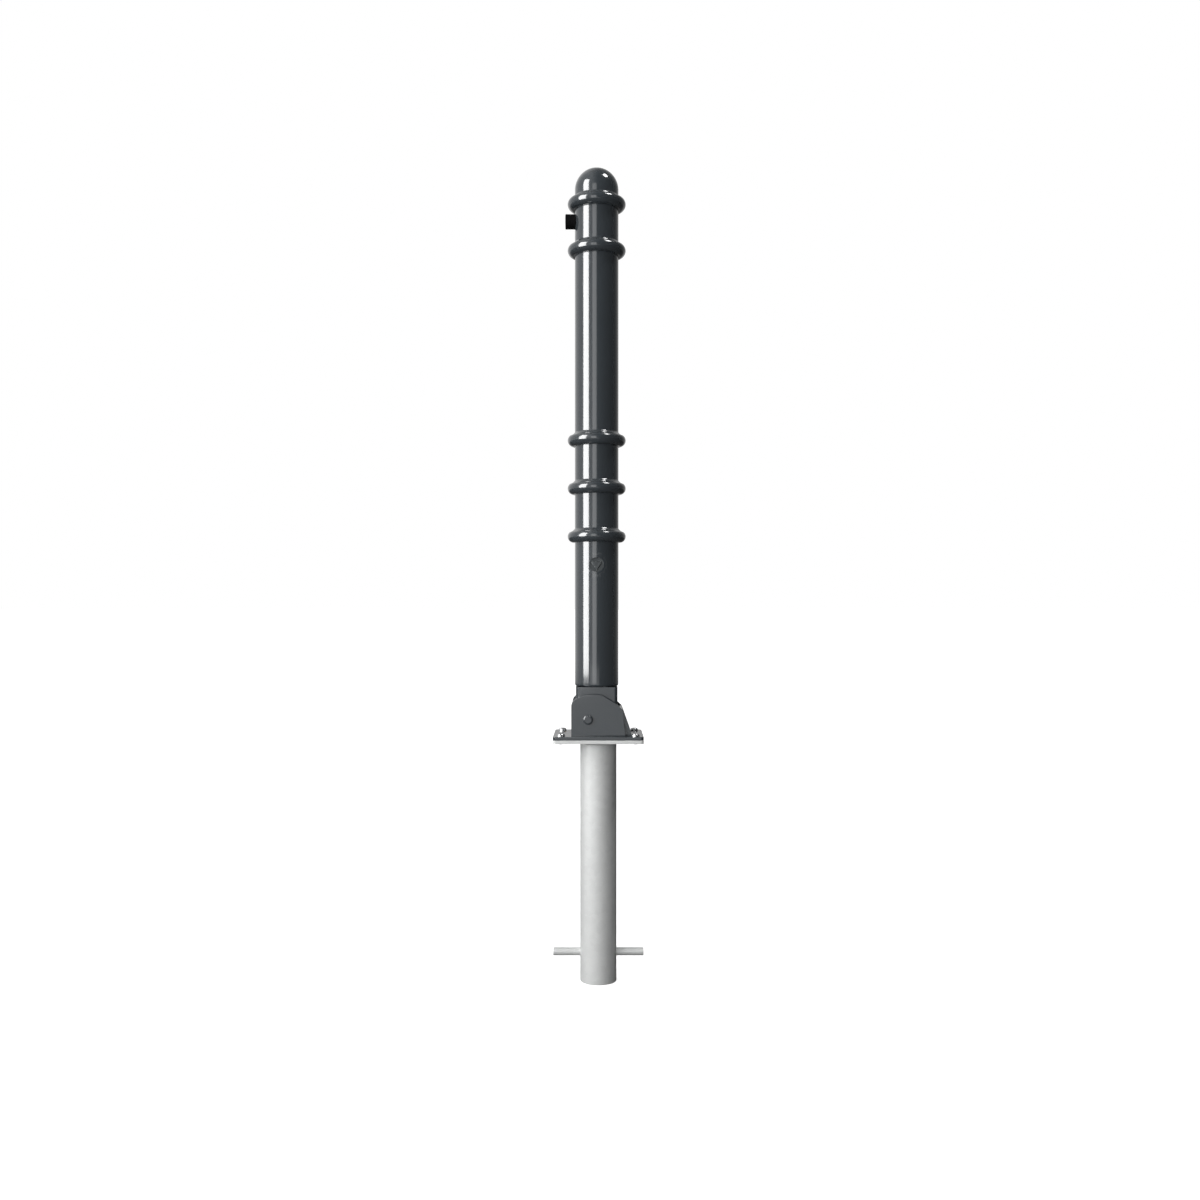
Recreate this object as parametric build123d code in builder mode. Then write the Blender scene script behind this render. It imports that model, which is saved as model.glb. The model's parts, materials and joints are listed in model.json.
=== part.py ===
"""Fold-down steel bollard on a bolted hinge base and a cast-in ground anchor.

Frame: +Z up, +X to the hinge's closed side, origin at ground level, in the middle of the
anchor plate's underside. The post stands on a pivot pin along Y and folds down towards -X,
until its rubber buffer lies on the ground. A triangular key in the post turns a crank, which
drops a latch rod into a keeper under the post's foot. All sizes are in millimetres.
"""

import os
from math import atan2, cos, radians, sin

from build123d import *

os.makedirs("parts", exist_ok=True)

# Clearances
run_gap = 0.05  # radial, a shaft that turns or slides in its bush or bore
seat_gap = 0.1  # per side, pieces of one body that are welded, pressed or screwed together
free_gap = 0.3  # between pieces of different bodies that pass each other

# Ground anchor
anchor_radius = 31.75
anchor_wall = 3.2
anchor_depth = 420
anchor_weld_leg = 5
cross_bar_radius = 7
cross_bar_length = 158
cross_bar_height = 50  # above the tube's lower end

# Plates and their fixing screws, M8 with button heads
plate_length = 155
plate_depth = 124
plate_corner = 5
anchor_plate_thickness = 6
base_plate_thickness = 6
drain_radius = 5
drain_spacing = 36
fixing_edge_x = 13.5
fixing_edge_y = 15
fixing_radius = 4
fixing_hole_gap = 0.5
fixing_head_radius = 7
fixing_head_height = 4.4
fixing_head_round = 3.6
fixing_key_flats = 5
fixing_key_depth = 2.6
fixing_stick_out = 2

# Hinge bracket
cheek_thickness = 6
cheek_gap = 84  # between the two cheeks' inner faces
cheek_left = -46.4
cheek_right = 46.5
cheek_back_height = 61
cheek_crest_left = -20
cheek_crest_right = 5
cheek_crest_height = 71
cheek_slope_x = 32
cheek_slope_height = 54.2
cheek_nose_x = 41.9
cheek_nose_height = 45
cheek_weld_leg = 3.5
web_thickness = 6
web_height = 46
web_top_x = 41.7
web_foot_x = 58
gusset_height = 22

# Post
post_height = 1000  # top of the dome above ground
post_x = -2.9
tube_radius = 38.05
tube_wall = 3.2
tube_foot = 95  # underside of the tube's end plate above ground
end_plate_thickness = 8
end_plate_round = 4
cap_seam_drop = 59  # tube's upper end below the top of the dome, hidden by the top ring
cap_spigot_length = 16
cap_wall = 3

# Bead rings
ring_section_radius = 10.3
ring_centre_offset = 2.35  # section's centre outside the tube's surface
ring_shoulder_height = 14  # the weld shoulder above each section's centre
ring_shoulder_angle = 48
top_ring_drop = 63
top_ring_spacing = 81
low_ring_height = 356
low_ring_spacing = 84
low_ring_count = 3

# Foot and pivot
pivot_offset = 14.7  # pin axis to the post's axis
fold_clearance = 16.65  # between the ground and the side of the folded post
pin_radius = 6
pin_head_radius = 8.5
pin_head_height = 4
pin_tail = 7
foot_width = 72
foot_depth = 76
foot_wall = 5
foot_back_bend = 10  # outer radius of the two vertical bends on the folding side
foot_front_bend = 5.5
foot_rise = 12  # underside of the foot above the base plate
foot_bottom_thickness = 4
sleeve_radius = 11
bush_radius = 8.5
bush_length = 25
bush_flange_radius = 13
washer_radius = 12
washer_thickness = 2.5
ring_thickness = 1.2
ring_groove_depth = 0.5
ring_outer_radius = 9

# Buffer
buffer_drop = 93
buffer_radius = 13
buffer_edge = 1.5
buffer_head_pocket_radius = 7.5
buffer_head_pocket_depth = 8
buffer_screw_radius = 3
buffer_screw_head_radius = 5
buffer_screw_head_height = 3.3
buffer_screw_length = 18
buffer_washer_thickness = 1.2
buffer_washer_radius = 6.5
insert_radius = 4.5
insert_length = 13
insert_flange_radius = 6.5
insert_flange_thickness = 1

# Lock and latch
lock_height = 306
housing_radius = 16
housing_back = 17  # housing's inner end in front of the post's axis
recess_radius = 12.5
recess_depth = 10
barrel_radius = 8
barrel_head_thickness = 2.5
triangle_radius = 11
triangle_corner = 1.2
triangle_sunk = 1.2  # the drive's end below the tube's surface
tail_flats = 8
tail_length = 5
crank_radius = 14
crank_half_turn = 30  # degrees above level when open, below when locked
crank_thickness = 4
crank_hub_radius = 8.5
crank_eye_radius = 5.5
stud_radius = 2.5
crank_screw_radius = 2.5
crank_screw_head_radius = 4.5
crank_screw_head_height = 2.5
rod_radius = 6
yoke_thickness = 4
yoke_width = 21
yoke_over_slot = 7
yoke_overlap = 18
rivet_radius = 2
rivet_head = 1
keeper_wall = 5
keeper_depth = 40
keeper_lead_in = 1.2
keeper_swing_gap = 0.6  # to the foot's corner when the post lies flat
stop_inset = 1.5  # upright stop's outer face inside the foot's
stop_gap = 2  # from the keeper to the upright stop
guide_thickness = 6
guide_height = 215

# Levels and places worked out from the sizes above
plate_top = anchor_plate_thickness + base_plate_thickness
fixing_spacing_x = plate_length - 2 * fixing_edge_x
fixing_spacing_y = plate_depth - 2 * fixing_edge_y
cheek_outer = cheek_gap / 2 + cheek_thickness
pivot_x = post_x - pivot_offset
pivot_z = fold_clearance + tube_radius - pivot_offset
tube_inner = tube_radius - tube_wall
tube_bottom = tube_foot + end_plate_thickness
tube_top = post_height - cap_seam_drop
foot_bottom = plate_top + foot_rise
foot_left = post_x - foot_width / 2
top_ring = post_height - top_ring_drop
ring_heights = [low_ring_height + low_ring_spacing * step for step in range(low_ring_count)]
ring_heights += [top_ring - top_ring_spacing, top_ring]
crank_rise = crank_radius * sin(radians(crank_half_turn))
crank_reach = crank_radius * cos(radians(crank_half_turn))
slot_half_travel = (crank_radius - crank_reach) / 2
rod_x = post_x + (crank_radius + crank_reach) / 2
latch_stroke = 2 * crank_rise
rod_end = max(foot_bottom + 1, plate_top + 2 * free_gap + latch_stroke)
slot_z = lock_height + crank_rise
crank_back = housing_back - free_gap - crank_thickness

# Working planes
post_plane = Plane(origin=(post_x, 0, 0), x_dir=(1, 0, 0), z_dir=(0, -1, 0))
post_axis = Axis((post_x, 0, 0), (0, 0, 1))
lock_plane = Plane(origin=(post_x, 0, lock_height), x_dir=(1, 0, 0), z_dir=(0, -1, 0))
pivot_plane = Plane(origin=(pivot_x, 0, pivot_z), x_dir=(1, 0, 0), z_dir=(0, -1, 0))
buffer_origin = (post_x, 0, post_height - buffer_drop)
buffer_plane = Plane(origin=buffer_origin, x_dir=(0, -1, 0), z_dir=(-1, 0, 0))


# ---------------------------------------------------------------- ground anchor
with BuildPart() as anchor_tube:
    with BuildSketch(Plane.XY):
        Circle(anchor_radius)
        Circle(anchor_radius - anchor_wall, mode=Mode.SUBTRACT)
    extrude(amount=-anchor_depth)
    with BuildSketch(Plane.YZ):
        with Locations((0, cross_bar_height - anchor_depth)):
            Circle(cross_bar_radius + seat_gap)
    extrude(amount=anchor_radius, both=True, mode=Mode.SUBTRACT)
anchor_tube.part.label = "anchor_tube"
export_step(anchor_tube.part, "parts/anchor_tube.step")

with BuildPart() as anchor_cross_bar:
    with BuildSketch(Plane.YZ):
        with Locations((0, cross_bar_height - anchor_depth)):
            Circle(cross_bar_radius)
    extrude(amount=cross_bar_length / 2, both=True)
    chamfer(anchor_cross_bar.edges().filter_by(GeomType.CIRCLE), length=1)
anchor_cross_bar.part.label = "anchor_cross_bar"
export_step(anchor_cross_bar.part, "parts/anchor_cross_bar.step")

with BuildPart() as anchor_plate:
    with BuildSketch(Plane.XY):
        RectangleRounded(plate_length, plate_depth, plate_corner)
        with GridLocations(fixing_spacing_x, fixing_spacing_y, 2, 2):
            Circle(fixing_radius + run_gap, mode=Mode.SUBTRACT)
        with GridLocations(0, drain_spacing, 1, 2):
            Circle(drain_radius, mode=Mode.SUBTRACT)
    extrude(amount=anchor_plate_thickness)
anchor_plate.part.label = "anchor_plate"
export_step(anchor_plate.part, "parts/anchor_plate.step")

with BuildPart() as anchor_weld:
    with BuildSketch(Plane.XZ):
        with BuildLine():
            bead_root = anchor_radius + run_gap
            Line((bead_root, 0), (bead_root + anchor_weld_leg, 0))
            RadiusArc((bead_root + anchor_weld_leg, 0), (bead_root, -anchor_weld_leg), 2 * anchor_weld_leg)
            Line((bead_root, -anchor_weld_leg), (bead_root, 0))
        make_face()
    revolve(axis=Axis.Z)
anchor_weld.part.label = "anchor_weld"
export_step(anchor_weld.part, "parts/anchor_weld.step")

# ---------------------------------------------------------------- bolted base
with BuildPart() as base_plate:
    with BuildSketch(Plane.XY.offset(anchor_plate_thickness)):
        RectangleRounded(plate_length, plate_depth, plate_corner)
        with GridLocations(fixing_spacing_x, fixing_spacing_y, 2, 2):
            Circle(fixing_radius + fixing_hole_gap, mode=Mode.SUBTRACT)
        with GridLocations(0, drain_spacing, 1, 2):
            Circle(drain_radius, mode=Mode.SUBTRACT)
    extrude(amount=base_plate_thickness)
    fillet(base_plate.faces().sort_by(Axis.Z)[-1].outer_wire().edges(), radius=0.8)
base_plate.part.label = "base_plate"
export_step(base_plate.part, "parts/base_plate.step")

with BuildPart() as fixing_screws:
    with BuildSketch(Plane.XY.offset(plate_top)):
        with GridLocations(fixing_spacing_x, fixing_spacing_y, 2, 2):
            Circle(fixing_head_radius)
    extrude(amount=fixing_head_height)
    fillet(fixing_screws.edges().group_by(Axis.Z)[-1], radius=fixing_head_round)
    with BuildSketch(Plane.XY.offset(plate_top)):
        with GridLocations(fixing_spacing_x, fixing_spacing_y, 2, 2):
            Circle(fixing_radius)
    extrude(amount=-plate_top - fixing_stick_out)
    chamfer(fixing_screws.edges().group_by(Axis.Z)[0], length=0.8)
    with BuildSketch(Plane.XY.offset(plate_top + fixing_head_height)):
        with GridLocations(fixing_spacing_x, fixing_spacing_y, 2, 2):
            RegularPolygon(fixing_key_flats / 2, 6, major_radius=False)
    extrude(amount=-fixing_key_depth, mode=Mode.SUBTRACT)
fixing_screws.part.label = "fixing_screws"
export_step(fixing_screws.part, "parts/fixing_screws.step")

cheek_outline = [
    (cheek_left, plate_top),
    (cheek_left, plate_top + cheek_back_height),
    (cheek_crest_left, plate_top + cheek_crest_height),
    (cheek_crest_right, plate_top + cheek_crest_height),
    (cheek_slope_x, plate_top + cheek_slope_height),
    (cheek_nose_x, plate_top + cheek_nose_height),
    (cheek_right, plate_top),
]
cheek_rounds = {1: 14, 2: 20, 3: 22, 4: 15, 5: 3}  # radius at each corner of the outline

for cheek_name, inner_face in (("front_cheek", cheek_gap / 2), ("rear_cheek", -cheek_outer)):
    with BuildPart() as cheek:
        with BuildSketch(Plane.XZ.offset(inner_face)) as cheek_face:
            with BuildLine():
                Polyline(*cheek_outline, close=True)
            make_face()
            for corner, radius in cheek_rounds.items():
                corner_x, corner_z = cheek_outline[corner]
                corner_point = Vector(corner_x, corner_z, 0)
                fillet(cheek_face.vertices().sort_by_distance(corner_point)[0], radius=radius)
            with Locations((pivot_x, pivot_z)):
                Circle(pin_radius + run_gap, mode=Mode.SUBTRACT)
        extrude(amount=cheek_thickness)
    cheek.part.label = cheek_name
    export_step(cheek.part, f"parts/{cheek_name}.step")

with BuildPart() as cheek_welds:
    weld_side = cheek_gap / 2 - run_gap
    with BuildSketch(Plane.YZ.offset(cheek_left + cheek_weld_leg)):
        for side in (-1, 1):
            with BuildLine():
                Polyline(
                    (side * weld_side, plate_top),
                    (side * (weld_side - cheek_weld_leg), plate_top),
                    (side * weld_side, plate_top + cheek_weld_leg),
                    close=True,
                )
            make_face()
    extrude(amount=cheek_right - cheek_left - 2 * cheek_weld_leg)
cheek_welds.part.label = "cheek_welds"
export_step(cheek_welds.part, "parts/cheek_welds.step")

# The slanted web closes the bracket on the side the post can't fold to.
web_slope = atan2(web_foot_x - web_top_x, web_height)
web_across = web_thickness / cos(web_slope)
with BuildPart() as bracket_web:
    with BuildSketch(Plane.XZ):
        with BuildLine():
            Polyline(
                (web_foot_x, plate_top),
                (web_top_x, plate_top + web_height),
                (web_top_x - web_across, plate_top + web_height),
                (web_foot_x - web_across, plate_top),
                close=True,
            )
        make_face()
    extrude(amount=cheek_gap / 2 - seat_gap, both=True)
    fillet(bracket_web.edges().filter_by(Axis.Y).group_by(Axis.Z)[-1], radius=1.5)
bracket_web.part.label = "bracket_web"
export_step(bracket_web.part, "parts/bracket_web.step")

# Two gussets close the corners between the web's foot and the cheeks, clear of the foot's sides.
gusset_left = cheek_right - cheek_weld_leg + seat_gap
gusset_lean = (web_foot_x - web_top_x) / web_height
gusset_foot = web_foot_x - web_across - seat_gap
with BuildPart() as web_gussets:
    with BuildSketch(Plane.XZ.offset(foot_depth / 2 + free_gap)):
        with BuildLine():
            Polyline(
                (gusset_left, plate_top + seat_gap),
                (gusset_foot - gusset_lean * seat_gap, plate_top + seat_gap),
                (gusset_foot - gusset_lean * gusset_height, plate_top + gusset_height),
                (gusset_left, plate_top + gusset_height),
                close=True,
            )
        make_face()
    extrude(amount=cheek_gap / 2 - seat_gap - foot_depth / 2 - free_gap)
    mirror(about=Plane.XZ)
web_gussets.part.label = "web_gussets"
export_step(web_gussets.part, "parts/web_gussets.step")

# The foot's underside comes to rest on this bar when the post stands upright.
keeper_right = rod_x + rod_radius + free_gap + keeper_wall
stop_left = keeper_right + stop_gap
stop_right = post_x + foot_width / 2 - stop_inset
with BuildPart() as upright_stop:
    with BuildSketch(Plane.XY.offset(plate_top)):
        with Locations(((stop_left + stop_right) / 2, 0)):
            Rectangle(stop_right - stop_left, cheek_gap - 2 * (cheek_weld_leg + 2 * seat_gap))
    extrude(amount=foot_rise - free_gap)
upright_stop.part.label = "upright_stop"
export_step(upright_stop.part, "parts/upright_stop.step")

# Two bars, one on each side of the rod, hold it when it is down. The left one ends where the
# foot's corner passes it as the post lies down.
keeper_left = pivot_x + pivot_z - foot_bottom + keeper_swing_gap
keeper_bars = {
    "keeper_bar_left": (keeper_left, rod_x - rod_radius - free_gap),
    "keeper_bar_right": (rod_x + rod_radius + free_gap, keeper_right),
}
for name, (bar_left, bar_right) in keeper_bars.items():
    with BuildPart() as keeper_bar:
        with BuildSketch(Plane.XY.offset(plate_top)):
            with Locations(((bar_left + bar_right) / 2, 0)):
                Rectangle(bar_right - bar_left, keeper_depth)
        extrude(amount=foot_rise - free_gap)
        top_edges = keeper_bar.edges().filter_by(Axis.Y).group_by(Axis.Z)[-1].sort_by(Axis.X)
        chamfer(top_edges[-1] if bar_right < rod_x else top_edges[0], length=keeper_lead_in)
    keeper_bar.part.label = name
    export_step(keeper_bar.part, f"parts/{name}.step")

# ---------------------------------------------------------------- pivot pin
washer_face = cheek_outer + run_gap
ring_face = washer_face + washer_thickness + run_gap
with BuildPart() as pivot_pin:
    with BuildSketch(Plane.XZ.offset(-cheek_outer - pin_tail)):
        with Locations((pivot_x, pivot_z)):
            Circle(pin_radius)
    extrude(amount=2 * cheek_outer + pin_tail)
    chamfer(pivot_pin.edges().group_by(Axis.Y)[-1], length=0.8)
    with BuildSketch(Plane.XZ.offset(cheek_outer)):
        with Locations((pivot_x, pivot_z)):
            Circle(pin_head_radius)
    extrude(amount=pin_head_height)
    fillet(pivot_pin.edges().group_by(Axis.Y)[0], radius=pin_head_height - 1)
    with BuildSketch(Plane.XZ.offset(-ring_face - ring_thickness)):
        with Locations((pivot_x, pivot_z)):
            Circle(pin_radius + 1)
            Circle(pin_radius - ring_groove_depth, mode=Mode.SUBTRACT)
    extrude(amount=ring_thickness, mode=Mode.SUBTRACT)
pivot_pin.part.label = "pivot_pin"
export_step(pivot_pin.part, "parts/pivot_pin.step")

with BuildPart() as pivot_washer:
    with BuildSketch(Plane.XZ.offset(-washer_face - washer_thickness)):
        with Locations((pivot_x, pivot_z)):
            Circle(washer_radius)
            Circle(pin_radius + seat_gap, mode=Mode.SUBTRACT)
    extrude(amount=washer_thickness)
pivot_washer.part.label = "pivot_washer"
export_step(pivot_washer.part, "parts/pivot_washer.step")

with BuildPart() as retaining_ring:
    with BuildSketch(Plane.XZ.offset(-ring_face - ring_thickness + run_gap)):
        with Locations((pivot_x, pivot_z)):
            Circle(ring_outer_radius)
            Circle(pin_radius - ring_groove_depth + run_gap, mode=Mode.SUBTRACT)
        with Locations((pivot_x, pivot_z - pin_radius)):
            Rectangle(1.2 * pin_radius, 2 * pin_radius, mode=Mode.SUBTRACT)
    extrude(amount=ring_thickness - 2 * run_gap)
retaining_ring.part.label = "retaining_ring"
export_step(retaining_ring.part, "parts/retaining_ring.step")

# ---------------------------------------------------------------- post
insert_hole = insert_radius + seat_gap
with BuildPart() as post_tube:
    with BuildSketch(Plane.XY.offset(tube_bottom)):
        with Locations((post_x, 0)):
            Circle(tube_radius)
            Circle(tube_inner, mode=Mode.SUBTRACT)
    extrude(amount=tube_top - tube_bottom)
    with BuildSketch(lock_plane):
        Circle(housing_radius + seat_gap)
    extrude(amount=2 * tube_radius, mode=Mode.SUBTRACT)
    with BuildSketch(buffer_plane):
        Circle(insert_hole)
    extrude(amount=2 * tube_radius, mode=Mode.SUBTRACT)
post_tube.part.label = "post_tube"
export_step(post_tube.part, "parts/post_tube.step")

with BuildPart() as tube_end_plate:
    with BuildSketch(Plane.XY.offset(tube_foot)):
        with Locations((post_x, 0)):
            Circle(tube_radius)
        with Locations((rod_x, 0)):
            Circle(rod_radius + free_gap, mode=Mode.SUBTRACT)
    extrude(amount=end_plate_thickness)
    lower_edges = tube_end_plate.edges().filter_by(GeomType.CIRCLE).group_by(Axis.Z)[0]
    fillet(lower_edges.sort_by(SortBy.RADIUS)[-1], radius=end_plate_round)
tube_end_plate.part.label = "tube_end_plate"
export_step(tube_end_plate.part, "parts/tube_end_plate.step")

dome_centre = post_height - tube_radius
spigot_radius = tube_inner - seat_gap
cap_inner = spigot_radius - cap_wall
with BuildPart() as dome_cap:
    with BuildSketch(post_plane):
        with BuildLine():
            RadiusArc((0, post_height), (tube_radius, dome_centre), tube_radius)
            Polyline(
                (tube_radius, dome_centre),
                (tube_radius, tube_top),
                (spigot_radius, tube_top),
                (spigot_radius, tube_top - cap_spigot_length),
                (cap_inner, tube_top - cap_spigot_length),
                (cap_inner, dome_centre),
            )
            RadiusArc((cap_inner, dome_centre), (0, dome_centre + cap_inner), -cap_inner)
            Line((0, dome_centre + cap_inner), (0, post_height))
        make_face()
    revolve(axis=post_axis)
dome_cap.part.label = "dome_cap"
export_step(dome_cap.part, "parts/dome_cap.step")

# Each bead is a half-round ring welded round the tube, with a ground weld shoulder on top.
bead_bore = tube_radius + run_gap
section_x = tube_radius + ring_centre_offset
bead_half = (ring_section_radius**2 - (bead_bore - section_x) ** 2) ** 0.5
shoulder_x = section_x + ring_section_radius * cos(radians(ring_shoulder_angle))
shoulder_z = ring_section_radius * sin(radians(ring_shoulder_angle))
for number, height in enumerate(ring_heights, start=1):
    with BuildPart() as bead_ring:
        with BuildSketch(post_plane):
            with BuildLine():
                ThreePointArc(
                    (bead_bore, height - bead_half),
                    (section_x + ring_section_radius, height),
                    (shoulder_x, height + shoulder_z),
                )
                RadiusArc(
                    (shoulder_x, height + shoulder_z),
                    (bead_bore, height + ring_shoulder_height),
                    2 * ring_section_radius,
                )
                Line((bead_bore, height + ring_shoulder_height), (bead_bore, height - bead_half))
            make_face()
        revolve(axis=post_axis)
    bead_ring.part.label = f"bead_ring_{number}"
    export_step(bead_ring.part, f"parts/bead_ring_{number}.step")

# ---------------------------------------------------------------- foot and pivot bushes
foot_middle = foot_left + foot_width / 2
with BuildPart() as foot_box:
    with BuildSketch(Plane.XY.offset(foot_bottom)) as foot_outline:
        with Locations((foot_middle, 0)):
            Rectangle(foot_width, foot_depth)
        fillet(foot_outline.vertices().group_by(Axis.X)[0], radius=foot_back_bend)
        fillet(foot_outline.vertices().group_by(Axis.X)[-1], radius=foot_front_bend)
        offset(amount=-foot_wall, mode=Mode.SUBTRACT)
    extrude(amount=tube_foot - foot_bottom)
    with BuildSketch(pivot_plane):
        Circle(sleeve_radius + run_gap)
    extrude(amount=foot_depth, both=True, mode=Mode.SUBTRACT)
foot_box.part.label = "foot_box"
export_step(foot_box.part, "parts/foot_box.step")

with BuildPart() as foot_bottom_plate:
    with BuildSketch(Plane.XY.offset(foot_bottom)) as foot_floor:
        with Locations((foot_middle, 0)):
            Rectangle(foot_width - 2 * (foot_wall + seat_gap), foot_depth - 2 * (foot_wall + seat_gap))
        fillet(foot_floor.vertices(), radius=foot_back_bend - foot_wall)
        with Locations((rod_x, 0)):
            Circle(rod_radius + free_gap, mode=Mode.SUBTRACT)
    extrude(amount=foot_bottom_thickness)
foot_bottom_plate.part.label = "foot_bottom_plate"
export_step(foot_bottom_plate.part, "parts/foot_bottom_plate.step")

with BuildPart() as pivot_sleeve:
    with BuildSketch(pivot_plane):
        Circle(sleeve_radius)
        Circle(bush_radius + run_gap, mode=Mode.SUBTRACT)
    extrude(amount=foot_depth / 2, both=True)
pivot_sleeve.part.label = "pivot_sleeve"
export_step(pivot_sleeve.part, "parts/pivot_sleeve.step")

bush_flange = cheek_gap / 2 - foot_depth / 2 - free_gap
for bush_name, side in (("front_bush", 1), ("rear_bush", -1)):
    with BuildPart() as bush:
        with BuildSketch(pivot_plane.offset(side * (foot_depth / 2 - bush_length))):
            Circle(bush_radius)
            Circle(pin_radius + run_gap, mode=Mode.SUBTRACT)
        extrude(amount=side * bush_length)
        with BuildSketch(pivot_plane.offset(side * foot_depth / 2)):
            Circle(bush_flange_radius)
            Circle(pin_radius + run_gap, mode=Mode.SUBTRACT)
        extrude(amount=side * bush_flange)
    bush.part.label = bush_name
    export_step(bush.part, f"parts/{bush_name}.step")

with BuildPart() as rod_guide:
    with BuildSketch(Plane.XY.offset(guide_height)):
        with Locations((post_x, 0)):
            Circle(tube_inner - seat_gap)
        with Locations((rod_x, 0)):
            Circle(rod_radius + run_gap, mode=Mode.SUBTRACT)
    extrude(amount=guide_thickness)
rod_guide.part.label = "rod_guide"
export_step(rod_guide.part, "parts/rod_guide.step")

# ---------------------------------------------------------------- rubber buffer
# Folded flat, the buffer's face lies exactly on the ground.
buffer_reach = pivot_z + pivot_offset
with BuildPart() as rubber_buffer:
    with BuildSketch(buffer_plane):
        Circle(buffer_radius)
    extrude(amount=buffer_reach)
    fillet(rubber_buffer.edges().group_by(Axis.X)[0], radius=buffer_edge)
    with BuildSketch(buffer_plane.offset(buffer_reach - buffer_head_pocket_depth)):
        Circle(buffer_head_pocket_radius)
    extrude(amount=buffer_head_pocket_depth, mode=Mode.SUBTRACT)
    with BuildSketch(buffer_plane):
        Circle(buffer_screw_radius + free_gap)
    extrude(amount=buffer_reach, mode=Mode.SUBTRACT)
    with BuildSketch(buffer_plane):
        Circle(insert_flange_radius + free_gap)
    extrude(amount=tube_radius + insert_flange_thickness + free_gap, mode=Mode.SUBTRACT)
    with Locations((post_x, 0, post_height - buffer_drop)):
        Cylinder(tube_radius + run_gap, 4 * buffer_radius, mode=Mode.SUBTRACT)
rubber_buffer.part.label = "rubber_buffer"
export_step(rubber_buffer.part, "parts/rubber_buffer.step")

pocket_floor = buffer_reach - buffer_head_pocket_depth
with BuildPart() as buffer_washer:
    with BuildSketch(buffer_plane.offset(pocket_floor + run_gap)):
        Circle(buffer_washer_radius)
        Circle(buffer_screw_radius + seat_gap, mode=Mode.SUBTRACT)
    extrude(amount=buffer_washer_thickness)
buffer_washer.part.label = "buffer_washer"
export_step(buffer_washer.part, "parts/buffer_washer.step")

screw_seat = pocket_floor + buffer_washer_thickness + 2 * run_gap
with BuildPart() as buffer_screw:
    with BuildSketch(buffer_plane.offset(screw_seat)):
        Circle(buffer_screw_head_radius)
    extrude(amount=buffer_screw_head_height)
    fillet(buffer_screw.edges().group_by(Axis.X)[0], radius=buffer_screw_head_height / 2)
    with BuildSketch(buffer_plane.offset(screw_seat)):
        Circle(buffer_screw_radius)
    extrude(amount=-buffer_screw_length)
    with BuildSketch(buffer_plane.offset(screw_seat + buffer_screw_head_height)):
        RegularPolygon(buffer_screw_radius * 2 / 3, 6, major_radius=False)
    extrude(amount=-buffer_screw_head_height / 2, mode=Mode.SUBTRACT)
buffer_screw.part.label = "buffer_screw"
export_step(buffer_screw.part, "parts/buffer_screw.step")

with BuildPart() as threaded_insert:
    with BuildSketch(buffer_plane.offset(tube_radius)):
        Circle(insert_radius)
    extrude(amount=-insert_length)
    with BuildSketch(buffer_plane.offset(tube_radius + run_gap)):
        Circle(insert_flange_radius)
    extrude(amount=insert_flange_thickness)
    with BuildSketch(buffer_plane.offset(tube_radius)):
        Circle(insert_radius)
    extrude(amount=insert_flange_thickness)
    with BuildSketch(buffer_plane):
        Circle(buffer_screw_radius + run_gap)
    extrude(amount=2 * tube_radius, mode=Mode.SUBTRACT)
threaded_insert.part.label = "threaded_insert"
export_step(threaded_insert.part, "parts/threaded_insert.step")

# ---------------------------------------------------------------- lock
recess_floor = tube_radius - recess_depth
with BuildPart() as lock_housing:
    with BuildSketch(lock_plane.offset(housing_back)):
        Circle(housing_radius)
    extrude(amount=tube_radius)
    with Locations((post_x, 0, lock_height)):
        Cylinder(tube_radius, 4 * housing_radius, mode=Mode.INTERSECT)
    with BuildSketch(lock_plane.offset(recess_floor)):
        Circle(recess_radius)
    extrude(amount=tube_radius, mode=Mode.SUBTRACT)
    with BuildSketch(lock_plane):
        Circle(barrel_radius + run_gap)
    extrude(amount=tube_radius, mode=Mode.SUBTRACT)
lock_housing.part.label = "lock_housing"
export_step(lock_housing.part, "parts/lock_housing.step")

barrel_seat = recess_floor + free_gap
barrel_tail = housing_back - free_gap
with BuildPart() as lock_barrel:
    with BuildSketch(lock_plane.offset(barrel_tail)):
        Circle(barrel_radius)
    extrude(amount=barrel_seat - barrel_tail)
    with BuildSketch(lock_plane.offset(barrel_seat)):
        Circle(recess_radius - free_gap)
    extrude(amount=barrel_head_thickness)
    with BuildSketch(lock_plane.offset(barrel_seat + barrel_head_thickness)) as drive:
        RegularPolygon(triangle_radius, 3, rotation=-90)
        fillet(drive.vertices(), radius=triangle_corner)
    extrude(amount=tube_radius - triangle_sunk - barrel_seat - barrel_head_thickness)
    with BuildSketch(lock_plane.offset(barrel_tail)):
        Rectangle(tail_flats, tail_flats)
    extrude(amount=-tail_length)
    with BuildSketch(lock_plane.offset(barrel_tail - tail_length)):
        Circle(crank_screw_radius + run_gap)
    extrude(amount=2 * tail_length, mode=Mode.SUBTRACT)
lock_barrel.part.label = "lock_barrel"
export_step(lock_barrel.part, "parts/lock_barrel.step")

crank_front = barrel_tail - run_gap
with BuildPart() as lock_crank:
    with BuildSketch(lock_plane.offset(crank_front)):
        Circle(crank_hub_radius)
        with Locations((crank_reach, crank_rise)):
            Circle(crank_eye_radius)
        make_hull()
        Rectangle(tail_flats + seat_gap, tail_flats + seat_gap, mode=Mode.SUBTRACT)
        with Locations((crank_reach, crank_rise)):
            Circle(stud_radius + run_gap, mode=Mode.SUBTRACT)
    extrude(amount=-crank_thickness)
lock_crank.part.label = "lock_crank"
export_step(lock_crank.part, "parts/lock_crank.step")

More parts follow.
